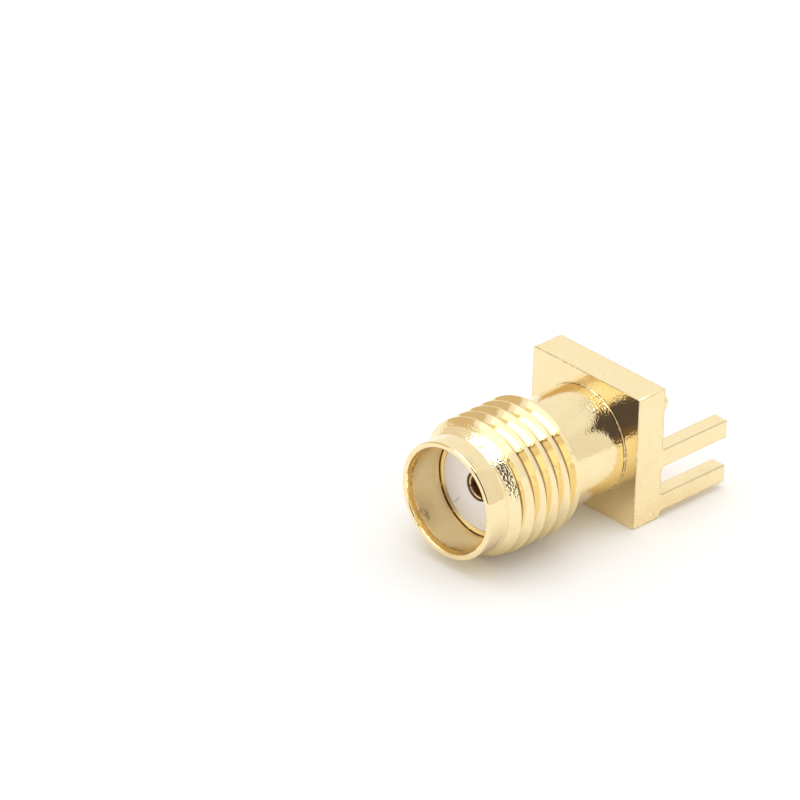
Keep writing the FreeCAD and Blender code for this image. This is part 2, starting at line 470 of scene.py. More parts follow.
open_for_editing(flange)
pick_edges(flange, on_a_long_corner)
bpy.ops.mesh.bevel(offset=corner_round * MM, segments=5, affect="EDGES")

for across, place in [
    ((1, 0, 0), -leg_inner_x),
    ((1, 0, 0), leg_inner_x),
    ((0, 0, 1), upper_leg[0]),
    ((0, 0, 1), upper_leg[1]),
    ((0, 0, 1), lower_leg[0]),
    ((0, 0, 1), lower_leg[1]),
]:
    pick_faces(flange, lambda centre, normal: normal.y > 0.9)
    bpy.ops.mesh.bisect(plane_co=Vector(across) * place * MM, plane_no=across)


def on_a_leg(centre):
    """True for a point whose x and z lie inside one of the four legs."""
    in_upper = upper_leg[0] < centre.z < upper_leg[1]
    in_lower = lower_leg[0] < centre.z < lower_leg[1]
    return abs(centre.x) > leg_inner_x and (in_upper or in_lower)


legs = pick_faces(flange, lambda centre, normal: normal.y > 0.9 and on_a_leg(centre))
bpy.ops.mesh.extrude_region_move(TRANSFORM_OT_translate={"value": (0, leg_tip_y * MM, 0)})
print("faces extruded as legs:", legs)


def bend(edge):
    """Angle between an edge's two faces, in degrees: positive outside, negative in a corner."""
    if len(edge.link_faces) != 2:
        return 0
    return math.degrees(edge.calc_face_angle_signed(0))


roots = pick_edges(flange, lambda edge, middle: bend(edge) < -60)
bpy.ops.mesh.bevel(offset=leg_root_round * MM, segments=4, affect="EDGES", clamp_overlap=True)
tips = pick_edges(flange, lambda edge, middle: middle.y > leg_tip_y - 0.01 and bend(edge) > 60)
bpy.ops.mesh.bevel(offset=leg_tip_round * MM, segments=3, affect="EDGES", clamp_overlap=True)
edges = pick_edges(flange, lambda edge, middle: bend(edge) > 60)
bpy.ops.mesh.bevel(offset=broken_edge * MM, segments=3, affect="EDGES", clamp_overlap=True)
close_editing()
tidy_mesh(flange)
print("rounded: roots", roots, "tips", tips, "other edges", edges, "faces", len(flange.data.polygons))

# %% [markdown]
# ## The body, fourth step: joining and threading
#
# The flange is joined to the blank while both are still plain solids, and the thread is cut after
# that. In the other order the many small faces of the thread make the join unsafe.

# %% Join and thread
combine(body, flange, "UNION")
print("body with flange:", len(body.data.polygons), "faces")
combine(body, threading_tool, "DIFFERENCE")
print("threaded body:", len(body.data.polygons), "faces")

# %% [markdown]
# ## The body, fifth step: the bores
#
# The bores are cut last, with one tool of their whole shape: a wide mouth that flares a little
# towards the rim, so that the plug finds its way in, a narrower bore for the insulator, and
# a smaller hole through the thin wall at the back that stops it.

# %% Bores
insulator_bore = 2.06
back_hole = 1.8
back_wall = 0.5
behind_y = 0.6
overrun = 0.3
in_front_y = rim_y - overrun
flare_depth = 0.6
rim_flare = 0.14
flare_wider_at_depth = ((0.025, 0.36), (0.07, 0.13), (0.10, 0.03), (rim_flare, 0.0))
bore_round = 0.02

bore_outline = [
    (0, behind_y),
    (back_hole, behind_y),
    (back_hole, -back_wall),
    (insulator_bore, -back_wall),
    (insulator_bore, reference_y),
    (mouth_radius, reference_y),
    (mouth_radius, rim_y + flare_depth),
]
bore_outline += [(mouth_radius + wider, rim_y + depth) for wider, depth in flare_wider_at_depth]
bore_outline += [(mouth_radius + rim_flare + overrun, in_front_y), (0, in_front_y)]
boring_tool = turn("boring_tool", softened(bore_outline, bore_round, steps=3), steps=240)
combine(body, boring_tool, "DIFFERENCE")
tidy_mesh(body)
print("bored body:", len(body.data.polygons), "faces")

# %% [markdown]
# ## The insulator
#
# A white fluoropolymer sleeve, pressed in from the mouth. Its front face is flat and lies in the
# reference plane. A ring of room around the contact lets the fingers spread. It is turned like
# the rest, with soft edges, and is a hair smaller than its bore so that a fine dark line shows
# around it. Its outline starts and ends on the straight wall of that room.

# %% Insulator
press_gap = 0.012
room_radius = 0.67
room_depth = 1.9
contact_radius = 0.635
neck_radius = 0.54
neck_y = -1.5
outline_start_y = reference_y + 0.3

insulator_outline = [
    (room_radius, outline_start_y),
    (room_radius, reference_y),
    (insulator_bore - press_gap, reference_y),
    (insulator_bore - press_gap, -back_wall - press_gap),
    (back_hole - press_gap, -back_wall - press_gap),
    (back_hole - press_gap, 0),
    (neck_radius + press_gap, 0),
    (neck_radius + press_gap, neck_y + press_gap),
    (contact_radius + press_gap, neck_y + press_gap),
    (contact_radius + press_gap, reference_y + room_depth),
    (room_radius, reference_y + room_depth),
    (room_radius, outline_start_y),
]
insulator = turn("insulator_sleeve", softened(insulator_outline, 0.03, steps=3), steps=192)
print("insulator:", len(insulator.data.polygons), "faces")

# %% [markdown]
# ## The centre contact
#
# One turned rod: a socket that grips the plug's pin, a thicker shank inside the insulator, and a
# pointed solder pin behind. Two crossed saw cuts leave four spring fingers at the socket. The
# saw blades are thin boxes that are cut away.

# %% Contact
contact_face_y = contact_low.y / MM
socket_depth = 2.4
drill_point = 0.2
lead_in_depth = 0.07
lead_in_width = 0.06
front_chamfer = 0.05
saw_width = 0.07
saw_length = 1.7
saw_overrun = 0.1
saw_span = 3
first_cut_angle = 20
shoulder_y = -0.02
pin_point = 0.35
pin_flat_radius = 0.08
pin_crown = 0.01

contact_outline = softened([
    (0, contact_face_y + socket_depth),
    (socket_radius, contact_face_y + socket_depth - drill_point),
    (socket_radius, contact_face_y + lead_in_depth),
    (socket_radius + lead_in_width, contact_face_y),
    (contact_radius - front_chamfer, contact_face_y),
    (contact_radius, contact_face_y + front_chamfer),
    (contact_radius, neck_y),
    (neck_radius, neck_y),
    (neck_radius, shoulder_y),
    (pin_radius, shoulder_y),
    (pin_radius, pin_tip_y - pin_point),
    (pin_flat_radius, pin_tip_y - pin_crown),
    (0, pin_tip_y),
], 0.025, steps=3)
contact = turn("socket_and_pin", contact_outline, steps=128)

for angle in (first_cut_angle, first_cut_angle + 90):
    bpy.ops.object.select_all(action="DESELECT")
    bpy.ops.mesh.primitive_cube_add(
        size=1,
        location=(0, (contact_face_y + saw_length / 2 - saw_overrun) * MM, 0),
        rotation=(0, -math.radians(angle), 0),
        scale=(saw_span * MM, (saw_length + 2 * saw_overrun) * MM, saw_width * MM),
    )
    blade = bpy.context.object
    bpy.ops.object.transform_apply(location=True, rotation=True, scale=True)
    combine(contact, blade, "DIFFERENCE")
tidy_mesh(contact)
print("contact:", len(contact.data.polygons), "faces")

# %% [markdown]
# ## Smooth shading
#
# Round surfaces are shaded smoothly, and edges that bend by more than 28 degrees stay crisp.
# Weighted normals let the large faces decide, so flat sides stay flat right up to their small
# rounded edges.

# %% Smooth shading
for piece in (body, insulator, contact):
    pick(piece)
    bpy.ops.object.shade_smooth_by_angle(angle=math.radians(28))
    weigh = piece.modifiers.new("weighted_normals", "WEIGHTED_NORMAL")
    weigh.keep_sharp = True
    weigh.weight = 100
    apply_modifier(piece, weigh)
    box = [Vector(corner) / MM for corner in piece.bound_box]
    low = [round(min(corner[axis] for corner in box), 3) for axis in range(3)]
    high = [round(max(corner[axis] for corner in box), 3) for axis in range(3)]
    print(piece.name, "from", low, "to", high)

# %% [markdown]
# ## Helpers for shader nodes
#
# A material is a tree of nodes. Each helper adds one kind of node, joins it up and gives back its
# output, so the materials below read like short formulas. A pattern that is to stay with its
# piece reads Object coordinates, which the helpers first turn from metres into millimetres.

# %% Helpers for shader nodes
def start_group(name, inputs, outputs):
    """An empty node group with named value inputs and outputs."""
    group = bpy.data.node_groups.new(name, "ShaderNodeTree")
    for title, value in inputs:
        socket = group.interface.new_socket(name=title, in_out="INPUT", socket_type="NodeSocketFloat")
        socket.default_value = value
    for title in outputs:
        group.interface.new_socket(name=title, in_out="OUTPUT", socket_type="NodeSocketFloat")
    entry = group.nodes.new("NodeGroupInput")
    leave = group.nodes.new("NodeGroupOutput")
    return group, entry, leave


def place_in_mm(tree):
    """Object coordinates in millimetres."""
    where = tree.nodes.new("ShaderNodeTexCoord")
    scale = tree.nodes.new("ShaderNodeVectorMath")
    scale.operation = "SCALE"
    scale.inputs["Scale"].default_value = 1 / MM
    tree.links.new(where.outputs["Object"], scale.inputs[0])
    return scale.outputs["Vector"]


def calculate(tree, operation, first, second=None, third=None):
    """A Math node whose inputs are sockets or plain numbers."""
    node = tree.nodes.new("ShaderNodeMath")
    node.operation = operation
    for slot, value in enumerate((first, second, third)):
        if value is None:
            continue
        if isinstance(value, (int, float)):
            node.inputs[slot].default_value = value
        else:
            tree.links.new(value, node.inputs[slot])
    return node.outputs[0]


def noise(tree, vector, scale, detail=2.0, roughness=0.5, dimensions="3D"):
    """A Noise Texture's value. For one dimension the vector is a plain number socket."""
    node = tree.nodes.new("ShaderNodeTexNoise")
    node.noise_dimensions = dimensions
    node.inputs["Detail"].default_value = detail
    node.inputs["Roughness"].default_value = roughness
    if isinstance(scale, (int, float)):
        node.inputs["Scale"].default_value = scale
    else:
        tree.links.new(scale, node.inputs["Scale"])
    entry = "W" if dimensions == "1D" else "Vector"
    tree.links.new(vector, node.inputs[entry])
    return node.outputs[0]


def ramp(tree, value, low, high, out_low=0.0, out_high=1.0):
    """A smooth step from one number to another."""
    node = tree.nodes.new("ShaderNodeMapRange")
    node.interpolation_type = "SMOOTHSTEP"
    node.inputs["From Min"].default_value = low
    node.inputs["From Max"].default_value = high
    node.inputs["To Min"].default_value = out_low
    node.inputs["To Max"].default_value = out_high
    tree.links.new(value, node.inputs["Value"])
    return node.outputs["Result"]


def along_axis(tree):
    """The place along the axis and the distance from it, in millimetres."""
    parts = tree.nodes.new("ShaderNodeSeparateXYZ")
    tree.links.new(place_in_mm(tree), parts.inputs[0])
    squares = calculate(tree, "MULTIPLY", parts.outputs["X"], parts.outputs["X"])
    squares = calculate(tree, "MULTIPLY_ADD", parts.outputs["Z"], parts.outputs["Z"], squares)
    return parts.outputs["Y"], calculate(tree, "SQRT", squares)


print("shader lengths: one metre is", round(1 / MM), "units")

# %% [markdown]
# ## Shared surface effects
#
# Three effects are built once as node groups, and each material places them with its own values.
# "lathe_lines" gives the fine rings that a turning tool leaves, on cylinders and on
# faces alike, because it follows the sum of the place along the axis and the distance from it.
# "cutter_lines" gives the straight marks of a milling cutter. "plating_grain" is the fine orange
# peel of plated metal.

# %% Node groups
lathe_lines, lathe_in, lathe_out = start_group("lathe_lines", [("Lines per mm", 20)], ["Height"])
along, from_axis = along_axis(lathe_lines)
travel = calculate(lathe_lines, "ADD", along, from_axis)
rings = noise(lathe_lines, travel, lathe_in.outputs["Lines per mm"], 2, 0.6, "1D")
lathe_lines.links.new(rings, lathe_out.inputs["Height"])

cutter_lines, cutter_in, cutter_out = start_group("cutter_lines", [("Lines per mm", 12)], ["Height"])
place = place_in_mm(cutter_lines)
stretch = cutter_lines.nodes.new("ShaderNodeMapping")
stretch.inputs["Scale"].default_value = (1, 0.06, 1)
cutter_lines.links.new(place, stretch.inputs["Vector"])
streaks = noise(cutter_lines, stretch.outputs["Vector"], cutter_in.outputs["Lines per mm"], 3, 0.6)
cutter_lines.links.new(streaks, cutter_out.inputs["Height"])

grain, grain_in, grain_out = start_group(
    "plating_grain", [("Grains per mm", 9)], ["Height", "Blotches"])
place = place_in_mm(grain)
peel = noise(grain, place, grain_in.outputs["Grains per mm"], 1, 0.6)
clouds = noise(grain, place, 1.3, 3, 0.6)
grain.links.new(peel, grain_out.inputs["Height"])
grain.links.new(clouds, grain_out.inputs["Blotches"])
print("node groups:", [group.name for group in (lathe_lines, cutter_lines, grain)])

# %% [markdown]
# ## Gold, three finishes
#
# All three are the same thin gold plate, a pale yellow metal that takes its colour from what it
# mirrors. They begin alike: full metal, a tint that drifts slowly between two golds, and a fine
# orange peel from the plating bath.

# %% Helpers for the gold finishes
GOLD = (0.95, 0.80, 0.49)
DULLER_GOLD = (0.93, 0.77, 0.45)
PALE_GOLD = (0.93, 0.80, 0.55)


def new_material(name):
    material = bpy.data.materials.new(name)
    material.use_nodes = True
    tree = material.node_tree
    shader = tree.nodes["Principled BSDF"]
    return material, tree, shader


def use_group(tree, group, **values):
    node = tree.nodes.new("ShaderNodeGroup")
    node.node_tree = group
    for title, value in values.items():
        node.inputs[title.replace("_", " ")].default_value = value
    return node


def mix_colours(tree, share, first, second):
    """Blend two plain colours, or a socket and a colour, by a value."""
    node = tree.nodes.new("ShaderNodeMix")
    node.data_type = "RGBA"
    tree.links.new(share, node.inputs["Factor"])
    for title, colour in (("A", first), ("B", second)):
        socket = [s for s in node.inputs if s.name == title and s.type == "RGBA"][0]
        if isinstance(colour, tuple):
            socket.default_value = (*colour, 1)
        else:
            tree.links.new(colour, socket)
    return [s for s in node.outputs if s.type == "RGBA"][0]


def add_bump(tree, shader, heights):
    """One Bump node after another, each with its own depth in millimetres."""
    normal = None
    for height, depth in heights:
        bump = tree.nodes.new("ShaderNodeBump")
        bump.inputs["Strength"].default_value = 1
        bump.inputs["Distance"].default_value = depth * MM
        tree.links.new(height, bump.inputs["Height"])
        if normal:
            tree.links.new(normal, bump.inputs["Normal"])
        normal = bump.outputs["Normal"]
    tree.links.new(normal, shader.inputs["Normal"])


def start_gold(name, colour, deep, grains):
    """The common beginning: metal, a drifting tint and the plating's grain."""
    material, tree, shader = new_material(name)
    shader.inputs["Metallic"].default_value = 1
    peel = use_group(tree, grain, Grains_per_mm=grains)
    clouds = ramp(tree, peel.outputs["Blotches"], 0.35, 0.7)
    tint = mix_colours(tree, clouds, colour, deep)
    return material, tree, shader, peel, tint


print("golds from", GOLD, "to", DULLER_GOLD, "and", PALE_GOLD)

# %% [markdown]
# ## Masks for wear, dirt and painted shade
#
# A mask is 1 where an effect shows and 0 elsewhere. Two masks multiplied leave what they share.
# The helpers give a band along sharp edges, a stretch between two places or two radii, and a
# single ragged mark. Wear, dirt, painted shade and a painted dark reflection are then mixed into the
# tint through them.

# %% Helpers for masks
# The first dark colour is for edge lines that are partly wear and partly a painted dark reflection.
EDGE_WEAR_AND_PAINTED_REFLECTION = (0.22, 0.15, 0.08)
HANDLED_GOLD = (0.85, 0.62, 0.45)
# This dark brown is for painted shade in grooves and corners, a painted dark reflection and wear
# along the front face's border, and dirt.
DIRT_AND_PAINTED_LIGHT_BROWN = (0.16, 0.09, 0.035)
BORE_BROWN = (0.20, 0.068, 0.026)


def both(tree, first, second):
    return calculate(tree, "MULTIPLY", first, second)


def between(tree, value, low, high, soft=0.03):
    """1 where a value lies between two numbers, with soft borders."""
    return both(tree, ramp(tree, value, low - soft, low), ramp(tree, value, high + soft, high))


def edge_mask(tree, radius, low, high):
    """About 1 on a band along each sharp edge and 0 elsewhere."""
    bevel = tree.nodes.new("ShaderNodeBevel")
    bevel.samples = 6
    bevel.inputs["Radius"].default_value = radius * MM
    true_normal = tree.nodes.new("ShaderNodeNewGeometry")
    compare = tree.nodes.new("ShaderNodeVectorMath")
    compare.operation = "DOT_PRODUCT"
    tree.links.new(bevel.outputs["Normal"], compare.inputs[0])
    tree.links.new(true_normal.outputs["Normal"], compare.inputs[1])
    return ramp(tree, compare.outputs["Value"], high, low)


def mark(tree, centre, reach, turn=0, stretch=1):
    """A ragged mark around a point, drawn out in x or z by the stretch and turned about Y."""
    away = tree.nodes.new("ShaderNodeVectorMath")
    away.operation = "SUBTRACT"
    tree.links.new(place_in_mm(tree), away.inputs[0])
    away.inputs[1].default_value = centre
    shape = tree.nodes.new("ShaderNodeMapping")
    shape.vector_type = "TEXTURE"
    shape.inputs["Rotation"].default_value = (0, math.radians(turn), 0)
    shape.inputs["Scale"].default_value = (stretch, 1, 1)
    tree.links.new(away.outputs["Vector"], shape.inputs["Vector"])
    far = tree.nodes.new("ShaderNodeVectorMath")
    far.operation = "LENGTH"
    tree.links.new(shape.outputs["Vector"], far.inputs[0])
    ragged = noise(tree, place_in_mm(tree), 9, 3, 0.6)
    ragged = calculate(tree, "MULTIPLY_ADD", ragged, -reach, far.outputs["Value"])
    return ramp(tree, ragged, reach * 0.55, reach * 0.25)


print("colours of wear:", EDGE_WEAR_AND_PAINTED_REFLECTION, HANDLED_GOLD, "of dirt:", DIRT_AND_PAINTED_LIGHT_BROWN, BORE_BROWN)

# %% [markdown]
# ## Turned gold
#
# The barrel, the thread, the cone and the flange's front face come bright from the lathe. The grain
# is quiet on the thread's narrow flanks and strongest on the cone, which the nut has roughened.
# The mouth is bored with a blunter tool, so its wall mirrors only softly, and a plug has left a
# brown smudge on it. The bottom of the thread's groove, the corner where the barrel meets the
# flange and the seat around the insulator are given a thin dark line of painted shade. The border
# of the front face has a dotted brown line, partly wear and partly a painted dark reflection.

# %% Turned gold: where each surface is
turned_gold, tree, shader, peel, tint = start_gold("turned_gold", GOLD, DULLER_GOLD, 9.5)
along, from_axis = along_axis(tree)
outer_skin = ramp(tree, from_axis, barrel_radius + 0.05, barrel_radius + 0.1)
on_cone = both(tree, between(tree, along, pilot_end_y, cone_end_y), outer_skin)
on_pilot = both(tree, ramp(tree, along, pilot_end_y, pilot_end_y - 0.03), outer_skin)
on_thread = both(tree, between(tree, along, cone_end_y, chamfer_end_y), outer_skin)
inside = ramp(tree, from_axis, mouth_radius + 0.16, mouth_radius + 0.13)
in_mouth = both(tree, inside, between(tree, along, rim_y + 0.45, reference_y - 0.05, 0.2))
print("masks for cone, pilot ring, thread and mouth:", len(tree.nodes), "nodes")

# %% [markdown]
# ## Painted shade, dirt and wear on the turned gold
#
# Each kind is a place times a crumbly noise: painted shade at the groove's bottom, in the corner at
# the barrel's foot and on the seat around the insulator; the smudge, which is dirt; and the border of
# the flange's front face, which is wear and a painted dark reflection. The strongest one wins, and
# only then is the tint mixed with the dark brown.

# %% Turned gold: painted shade, dirt and wear
crumbs = noise(tree, place_in_mm(tree), 4, 3, 0.6)
# Painted shade: a thin dark line along the bottom of the thread's groove.
groove_bottom = ramp(tree, from_axis, root_radius + 0.08, root_radius + 0.02, 0, 0.85)
groove_shade = both(tree, both(tree, on_thread, groove_bottom), ramp(tree, crumbs, 0.15, 0.45, 0.4, 1))

# Painted shade: a thin dark line in the corner where the barrel meets the flange.
near_corner = between(tree, along, front_y - 0.09, front_y - 0.03, 0.02)
corner = both(tree, near_corner, ramp(tree, from_axis, barrel_radius - 0.2, barrel_radius - 0.1))
corner = both(tree, corner, ramp(tree, crumbs, 0.36, 0.52))
corner = calculate(tree, "MULTIPLY", corner, 0.8)

# Painted shade: a thin dark line on the seat, where the mouth's wall meets it.
seat_shade = both(tree, between(tree, along, reference_y - 0.06, reference_y + 0.01, 0.02), inside)
seat_shade = both(tree, seat_shade, ramp(tree, from_axis, mouth_radius - 0.06, mouth_radius - 0.03))
seat_shade = both(tree, seat_shade, ramp(tree, crumbs, 0.2, 0.45))

streaks = noise(tree, place_in_mm(tree), 6, 3, 0.6)
smudge = mark(tree, (-1.68, -9.35, -1.55), 0.34, turn=-45, stretch=1.3)
smudge = both(tree, smudge, ramp(tree, streaks, 0.35, 0.65, 0, 0.42))

# A dotted brown line on the border of the front face: partly wear, partly a painted dark reflection.
on_flange = ramp(tree, along, front_y - 0.1, front_y - 0.05)
border_wear_and_painted_reflection = both(tree, edge_mask(tree, 0.09, 0.90, 0.985), on_flange)
border_wear_and_painted_reflection = both(tree, border_wear_and_painted_reflection, ramp(tree, crumbs, 0.34, 0.50, 0, 0.85))

# All of these take the same dark brown: painted shade, a painted dark reflection, dirt and wear.
dirt_wear_and_painted_light = groove_shade
for kind in (corner, seat_shade, smudge, border_wear_and_painted_reflection):
    dirt_wear_and_painted_light = calculate(tree, "MAXIMUM", dirt_wear_and_painted_light, kind)
tint = mix_colours(tree, dirt_wear_and_painted_light, tint, DIRT_AND_PAINTED_LIGHT_BROWN)
tree.links.new(tint, shader.inputs["Base Color"])
print("turned gold with dirt:", len(tree.nodes), "nodes")

# %% [markdown]
# ## Roughness and grain of the turned gold
#
# The grain's strength is 1 on the barrel. Each surface adds or takes away its own share.

# %% Turned gold: roughness and grain
roughness = ramp(tree, peel.outputs["Blotches"], 0.3, 0.75, 0.03, 0.06)
roughness = calculate(tree, "MULTIPLY_ADD", in_mouth, 0.30, roughness)
tree.links.new(roughness, shader.inputs["Roughness"])
strength = 1.0
for surface, share in ((on_cone, 1.3), (on_pilot, -0.8), (on_thread, -0.65), (in_mouth, -0.8)):
    strength = calculate(tree, "MULTIPLY_ADD", surface, share, strength)
grain_height = both(tree, peel.outputs["Height"], strength)
lines = use_group(tree, lathe_lines, Lines_per_mm=16)
add_bump(tree, shader, [(lines.outputs["Height"], 0.001), (grain_height, 0.008)])
print("turned gold:", len(tree.nodes), "nodes")

# %% [markdown]
# ## Milled gold
#
# The flange's sides and the legs are satin, with faint straight marks from the cutter. Their edges
# get a dark line, partly wear and partly a painted dark reflection: a Bevel node gives a rounded
# normal, and where it departs from the true normal there is an edge. The line is broken up by
# noise, so it reads as a dotted brown line. A wider, much fainter reddish band beside the edges is
# where fingers have held it.

# %% Milled gold
milled_gold, tree, shader, peel, tint = start_gold("milled_gold", GOLD, DULLER_GOLD, 13)
crumbs = noise(tree, place_in_mm(tree), 6, 3, 0.65)
# A dotted brown line along the edges: partly wear, partly a painted dark reflection.
edge_wear_and_painted_reflection = both(tree, edge_mask(tree, 0.10, 0.90, 0.985), ramp(tree, crumbs, 0.30, 0.46))
tint = mix_colours(tree, edge_wear_and_painted_reflection, tint, EDGE_WEAR_AND_PAINTED_REFLECTION)
handled = both(tree, edge_mask(tree, 0.5, 0.80, 1.0), ramp(tree, crumbs, 0.48, 0.62, 0, 0.3))
tint = mix_colours(tree, handled, tint, HANDLED_GOLD)
tree.links.new(tint, shader.inputs["Base Color"])
roughness = ramp(tree, peel.outputs["Blotches"], 0.3, 0.75, 0.24, 0.32)
tree.links.new(roughness, shader.inputs["Roughness"])
lines = use_group(tree, cutter_lines, Lines_per_mm=16)
add_bump(tree, shader, [(lines.outputs["Height"], 0.004), (peel.outputs["Height"], 0.004)])
print("milled gold:", len(tree.nodes), "nodes")

# %% [markdown]
# ## Contact gold
#
# The contact is a little paler outside. Inside its socket it is coloured a dark reddish brown and
# made only partly metallic, and the drill has left it rough, so that it mirrors next to nothing.

# %% Contact gold
contact_gold, tree, shader, peel, tint = start_gold("contact_gold", PALE_GOLD, GOLD, 13)
along, from_axis = along_axis(tree)
near_the_axis = ramp(tree, from_axis, socket_radius + 0.055, socket_radius + 0.035)
in_front = ramp(tree, along, neck_y - 0.1, neck_y - 0.2)
in_socket = both(tree, near_the_axis, in_front)
tint = mix_colours(tree, in_socket, tint, BORE_BROWN)
tree.links.new(tint, shader.inputs["Base Color"])
metal = calculate(tree, "MULTIPLY_ADD", in_socket, -0.75, 1.0)
tree.links.new(metal, shader.inputs["Metallic"])
roughness = ramp(tree, peel.outputs["Blotches"], 0.3, 0.75, 0.14, 0.22)
roughness = calculate(tree, "MULTIPLY_ADD", in_socket, 0.4, roughness)
tree.links.new(roughness, shader.inputs["Roughness"])
lines = use_group(tree, lathe_lines, Lines_per_mm=16)
add_bump(tree, shader, [(lines.outputs["Height"], 0.001), (peel.outputs["Height"], 0.001)])
print("contact gold:", len(tree.nodes), "nodes")

# %% [markdown]
# ## White fluoropolymer
#
# The insulator is an off-white, slightly waxy plastic, cut on a lathe: very faint rings, a few
# fine scratches and specks where a plug has touched it, and soft light inside it. The room around
# the contact is narrow and lies in shade, so its wall is darker.

# %% Insulator material
OFF_WHITE = (0.96, 0.94, 0.955)
WARMER_WHITE = (0.975, 0.95, 0.95)
SCRATCH_GREY = (0.42, 0.38, 0.36)
SHADED_BROWN = (0.26, 0.18, 0.12)

insulator_white, tree, shader = new_material("white_fluoropolymer")
shader.inputs["Subsurface Weight"].default_value = 0.15
shader.inputs["Subsurface Radius"].default_value = (1.0, 0.9, 0.8)
shader.inputs["Subsurface Scale"].default_value = 0.2 * MM
shader.inputs["IOR"].default_value = 1.38
place = place_in_mm(tree)
clouds = ramp(tree, noise(tree, place, 1.1, 3), 0.3, 0.7)
tint = mix_colours(tree, clouds, OFF_WHITE, WARMER_WHITE)
specks = tree.nodes.new("ShaderNodeTexVoronoi")
specks.inputs["Scale"].default_value = 2.6
tree.links.new(place, specks.inputs["Vector"])
speck_mask = ramp(tree, specks.outputs["Distance"], 0.10, 0.05)
scratch_map = tree.nodes.new("ShaderNodeMapping")
scratch_map.inputs["Rotation"].default_value = (0, math.radians(35), 0)
scratch_map.inputs["Scale"].default_value = (0.25, 1, 5)
tree.links.new(place, scratch_map.inputs["Vector"])
scratches = noise(tree, scratch_map.outputs["Vector"], 1.4, 2, 0.5)
scratch_mask = ramp(tree, scratches, 0.66, 0.72)
marks = calculate(tree, "MAXIMUM", speck_mask, scratch_mask)
scrape = mark(tree, (-1.2, reference_y, -1.15), 0.05, turn=-50, stretch=6)
marks = calculate(tree, "MAXIMUM", marks, scrape)
marks = calculate(tree, "MULTIPLY", marks, 0.45)
tint = mix_colours(tree, marks, tint, SCRATCH_GREY)
along, from_axis = along_axis(tree)
in_finger_room = ramp(tree, from_axis, room_radius + 0.015, room_radius)
tint = mix_colours(tree, in_finger_room, tint, SHADED_BROWN)
tree.links.new(tint, shader.inputs["Base Color"])
rings = use_group(tree, lathe_lines, Lines_per_mm=9)
roughness = ramp(tree, rings.outputs["Height"], 0.3, 0.7, 0.38, 0.5)
tree.links.new(roughness, shader.inputs["Roughness"])
add_bump(tree, shader, [(rings.outputs["Height"], 0.002), (marks, 0.003)])
print("insulator material:", insulator_white.name)

# %% [markdown]
# ## Dress the pieces
#
# The body is one piece of metal with two finishes. Faces on the flange's sides and back and on the
# legs are milled; the front face of the flange is faced on the lathe, so it is as bright as
# the barrel.

# %% Assign materials
body.data.materials.append(turned_gold)
body.data.materials.append(milled_gold)
milled_faces = 0
for face in body.data.polygons:
    centre = face.center / MM
    distance = math.hypot(centre.x, centre.z)
    outside_barrel = distance > barrel_radius + root_fillet + 0.005 or centre.y > front_y + 0.3
    in_bore = distance < insulator_bore + 0.01 and centre.y < -0.01
    faced = centre.y < front_y + broken_edge
    if centre.y > front_y - 0.001 and outside_barrel and not in_bore and not faced:
        face.material_index = 1
        milled_faces += 1
insulator.data.materials.append(insulator_white)
contact.data.materials.append(contact_gold)
print("milled faces:", milled_faces, "of", len(body.data.polygons))

for piece, node, finish in (
    (body, "connector_body", "gold_plated_brass"),
    (insulator, "insulator", "fluoropolymer"),
    (contact, "centre_contact", "gold_plated_contact"),
):
    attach(piece, "root")
    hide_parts(node)

# %% [markdown]
# ## Table
#
# A plain white surface at the height of the flange's lower side. It stays matt, and takes the
# part's soft shadow.

# %% Table
bpy.ops.object.select_all(action="DESELECT")
bpy.ops.mesh.primitive_plane_add(size=6, location=(0, 0, body_low.z))
table = bpy.context.object
table.name = "white_table"
table_white, tree, shader = new_material("table_white")
shader.inputs["Base Color"].default_value = (0.98, 0.98, 0.98, 1)
shader.inputs["Roughness"].default_value = 0.9
shader.inputs["Specular IOR Level"].default_value = 0.1
table.data.materials.append(table_white)
table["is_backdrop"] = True
print("table at z =", round(body_low.z / MM, 3), "mm")

# %% [markdown]
# ## Lamp
#
# A broad lamp above lights the table and the plastic, so that the shadow stays soft. The gold
# doesn't mirror it: what the gold mirrors is the painted room of the next cells. The lamp is
# a little bluish and the even light from all round a little warm, and together they are white.

# %% Lamp
lamp_data = bpy.data.lights.new("ceiling_lamp", "AREA")
lamp_data.shape = "RECTANGLE"
lamp_data.size = 1.0
lamp_data.size_y = 1.1
lamp_data.energy = 2.9
lamp_data.color = (0.96, 1.0, 1.14)
lamp = bpy.data.objects.new("ceiling_lamp", lamp_data)
lamp.location = (0, 0.05, 1.0)
lamp.visible_glossy = False
bpy.context.collection.objects.link(lamp)
print("lamp", lamp_data.energy, "W,", lamp_data.size, "by", lamp_data.size_y, "m")

# %% [markdown]
# ## Tools for painting a room
#
# Polished gold has hardly any colour of its own and shows its surroundings, so the room around it
# is painted with care. The room is a sphere of directions: a patch of wall has a heading and
# a height in degrees, and a patch of ceiling is a rectangle seen from below.

# %% Room tools
world = bpy.data.worlds.new("pale_room")
world.use_nodes = True
bpy.context.scene.world = world
tree = world.node_tree
tree.nodes.clear()
outwards = tree.nodes.new("ShaderNodeTexCoord")
axes = tree.nodes.new("ShaderNodeSeparateXYZ")
tree.links.new(outwards.outputs["Generated"], axes.inputs[0])
height = calculate(tree, "ARCSINE", axes.outputs["Z"])


